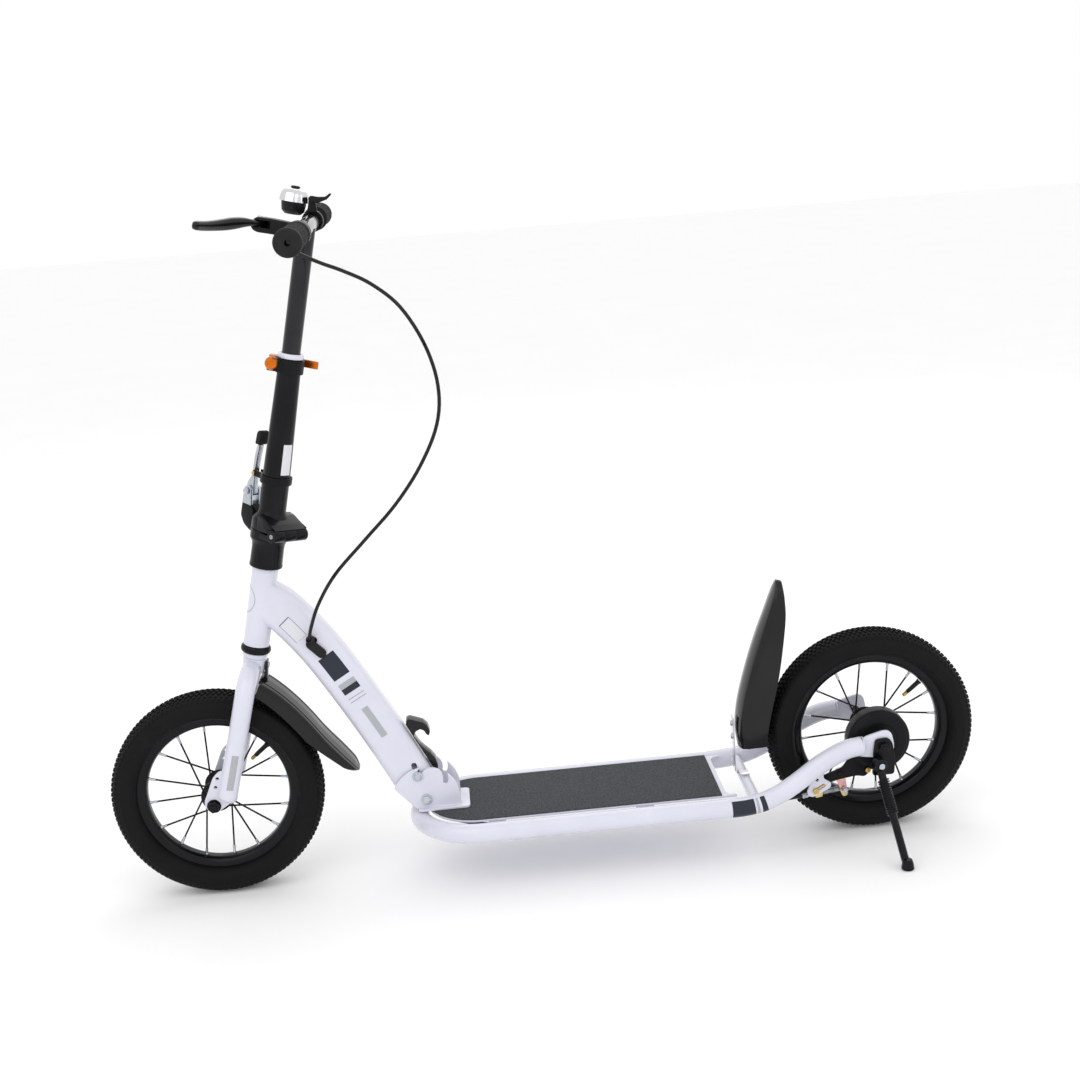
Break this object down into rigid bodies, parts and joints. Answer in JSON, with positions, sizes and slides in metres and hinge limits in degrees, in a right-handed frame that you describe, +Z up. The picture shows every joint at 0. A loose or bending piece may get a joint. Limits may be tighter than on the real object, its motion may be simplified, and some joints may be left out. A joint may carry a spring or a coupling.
{
  "type": "folding kick scooter",
  "caption": "Folding kick scooter with spoked pneumatic wheels, hinged stem, telescoping handlebar, hand-operated band brake, bell, fenders and kickstand",
  "frame": {"origin": "on the ground, midway between the wheel centres and on the plane of the wheels", "axes": "+Z up, -X the way the scooter rides, -Y the rider's left"},
  "size_m": [1.24, 0.6268, 0.9746],
  "materials": {
    "white_paint": "gloss white paint with a faint lavender cast",
    "grip_mat": "gritty dark grey grip mat",
    "black_paint": "gloss black paint",
    "satin_black": "satin black coating",
    "black_plastic": "moulded black plastic",
    "tyre_rubber": "ribbed black tyre",
    "rubber": "black rubber",
    "dark_chrome": "smoked chrome",
    "chrome": "bright chrome",
    "zinc": "blue-white zinc plate",
    "steel": "plain ground steel",
    "brass": "brass",
    "yellow_zinc": "yellow zinc plate",
    "orange_anodised": "orange anodised"
  },
  "bodies": {
    "deck_assembly": {"deck_frame": "white_paint", "deck_plate": "white_paint", "deck_mat": "grip_mat", "fold_bracket": "white_paint", "fold_pivot_bolt": "zinc", "rear_axle": "black_paint", "brake_band": "steel", "brake_cover": "satin_black", "rear_fender": "black_plastic", "fender_stay": "chrome", "kickstand_bracket": "black_paint", "kickstand_pin": "zinc", "brake_cable_lower": "black_plastic", "lower_barrel_adjuster": "zinc"},
    "front_assembly": {"front_frame": "white_paint", "lower_headset_cup": "black_paint", "upper_headset_cup": "black_paint", "cable_boot": "rubber", "brake_cable_upper": "black_plastic"},
    "release": {"release_handle": "black_plastic"},
    "lock": {"fold_lock_pin": "zinc"},
    "steering": {"fork": "white_paint", "front_axle": "black_paint", "front_fender": "black_plastic", "crown_race": "black_paint", "lower_bearing": "steel", "upper_bearing": "steel", "stem_socket": "black_paint", "stem_hinge_pin": "steel", "latch_bolt": "zinc"},
    "front_wheel": {"front_tyre": "tyre_rubber", "front_rim": "black_paint", "front_hub_and_spokes": "black_paint", "front_valve": "rubber"},
    "rear_wheel": {"rear_tyre": "tyre_rubber", "rear_rim": "black_paint", "rear_hub_and_spokes": "black_paint", "rear_valve": "rubber", "brake_drum": "steel"},
    "stem": {"stem_tube": "black_paint", "stem_collar": "satin_black", "collar_screw": "brass", "height_clamp": "satin_black", "clamp_bolt": "orange_anodised", "stem_top_ring": "white_paint"},
    "stem_latch": {"latch_lever": "zinc", "latch_tip": "rubber"},
    "height_lever": {"clamp_lever": "orange_anodised"},
    "bars": {"handlebar": "dark_chrome", "left_grip": "rubber", "right_grip": "rubber", "brake_perch": "black_plastic", "brake_lever_pin": "zinc", "bell_base": "black_plastic", "bell_dome": "chrome"},
    "brake_trigger": {"brake_lever": "black_plastic"},
    "bell_trigger": {"bell_lever": "black_plastic"},
    "band_arm": {"brake_arm": "yellow_zinc"},
    "stand": {"kickstand_leg": "black_paint", "kickstand_spring": "black_paint"}
  },
  "joints": [
    {"name": "main_fold", "type": "hinge", "parent": "deck_assembly", "child": "front_assembly", "pos_m": [-0.1768, 0, 0.1155], "axis": [0, -1, 0], "range_deg": [-65, 0]},
    {"name": "fold_lock_swing", "type": "hinge", "parent": "deck_assembly", "child": "lock", "pos_m": [-0.16718, 0, 0.14563], "axis": [0, -1, 0], "range_deg": [-180, 0]},
    {"name": "fold_release_pull", "type": "slide", "parent": "front_assembly", "child": "release", "axis": [-0.4562, 0, 0.8899], "range_m": [0, 0.012], "stiffness_N_per_m": 300, "springref_m": -0.003},
    {"name": "steer", "type": "hinge", "parent": "front_assembly", "child": "steering", "pos_m": [-0.44274, 0, 0.14361], "axis": [-0.2284, 0, -0.9736], "range_deg": [-45, 45], "deforming": ["brake_cable_upper"]},
    {"name": "front_wheel_spin", "type": "hinge", "parent": "steering", "child": "front_wheel", "pos_m": [-0.47, 0, 0.15], "axis": [0, 1, 0], "continuous": true},
    {"name": "rear_wheel_spin", "type": "hinge", "parent": "deck_assembly", "child": "rear_wheel", "pos_m": [0.47, 0, 0.15], "axis": [0, 1, 0], "continuous": true},
    {"name": "stem_fold", "type": "hinge", "parent": "steering", "child": "stem", "pos_m": [-0.32776, -0.02616, 0.51928], "axis": [0.6884, 0.7071, -0.1615], "range_deg": [0, 150], "deforming": ["brake_cable_upper"]},
    {"name": "stem_latch_open", "type": "hinge", "parent": "steering", "child": "stem_latch", "pos_m": [-0.37496, 0.03217, 0.57349], "axis": [-0.6884, -0.7071, 0.1615], "range_deg": [0, 75]},
    {"name": "height_lever_open", "type": "hinge", "parent": "stem", "child": "height_lever", "pos_m": [-0.32295, 0.026, 0.75285], "axis": [0.2284, 0, 0.9736], "range_deg": [0, 110]},
    {"name": "bar_height", "type": "slide", "parent": "stem", "child": "bars", "axis": [0.2284, 0, 0.9736], "range_m": [-0.12, 0.02], "deforming": ["brake_cable_upper"]},
    {"name": "brake_squeeze", "type": "hinge", "parent": "bars", "child": "brake_trigger", "pos_m": [-0.30288, -0.15, 0.94135], "axis": [0.2284, 0, 0.9736], "range_deg": [0, 25], "stiffness_Nm_per_rad": 0.8, "springref_deg": -8.59},
    {"name": "brake_arm_swing", "type": "hinge", "parent": "deck_assembly", "child": "band_arm", "pos_m": [0.412, -0.0527, 0.106], "axis": [0, 1, 0], "range_deg": [0, 12]},
    {"name": "bell_ring", "type": "hinge", "parent": "bars", "child": "bell_trigger", "pos_m": [-0.25651, 0.114, 0.95512], "axis": [0, 1, 0], "range_deg": [0, 25], "stiffness_Nm_per_rad": 0.05, "springref_deg": -11.46},
    {"name": "kickstand_stow", "type": "hinge", "parent": "deck_assembly", "child": "stand", "pos_m": [0.46, -0.0905, 0.128], "axis": [0.2507, -0.9681, 0], "range_deg": [0, 85]}
  ],
  "couplings": [
    {"joint": "fold_lock_swing", "follows": "main_fold", "ratio": 2.7692},
    {"joint": "brake_arm_swing", "follows": "brake_squeeze", "ratio": 0.48}
  ]
}
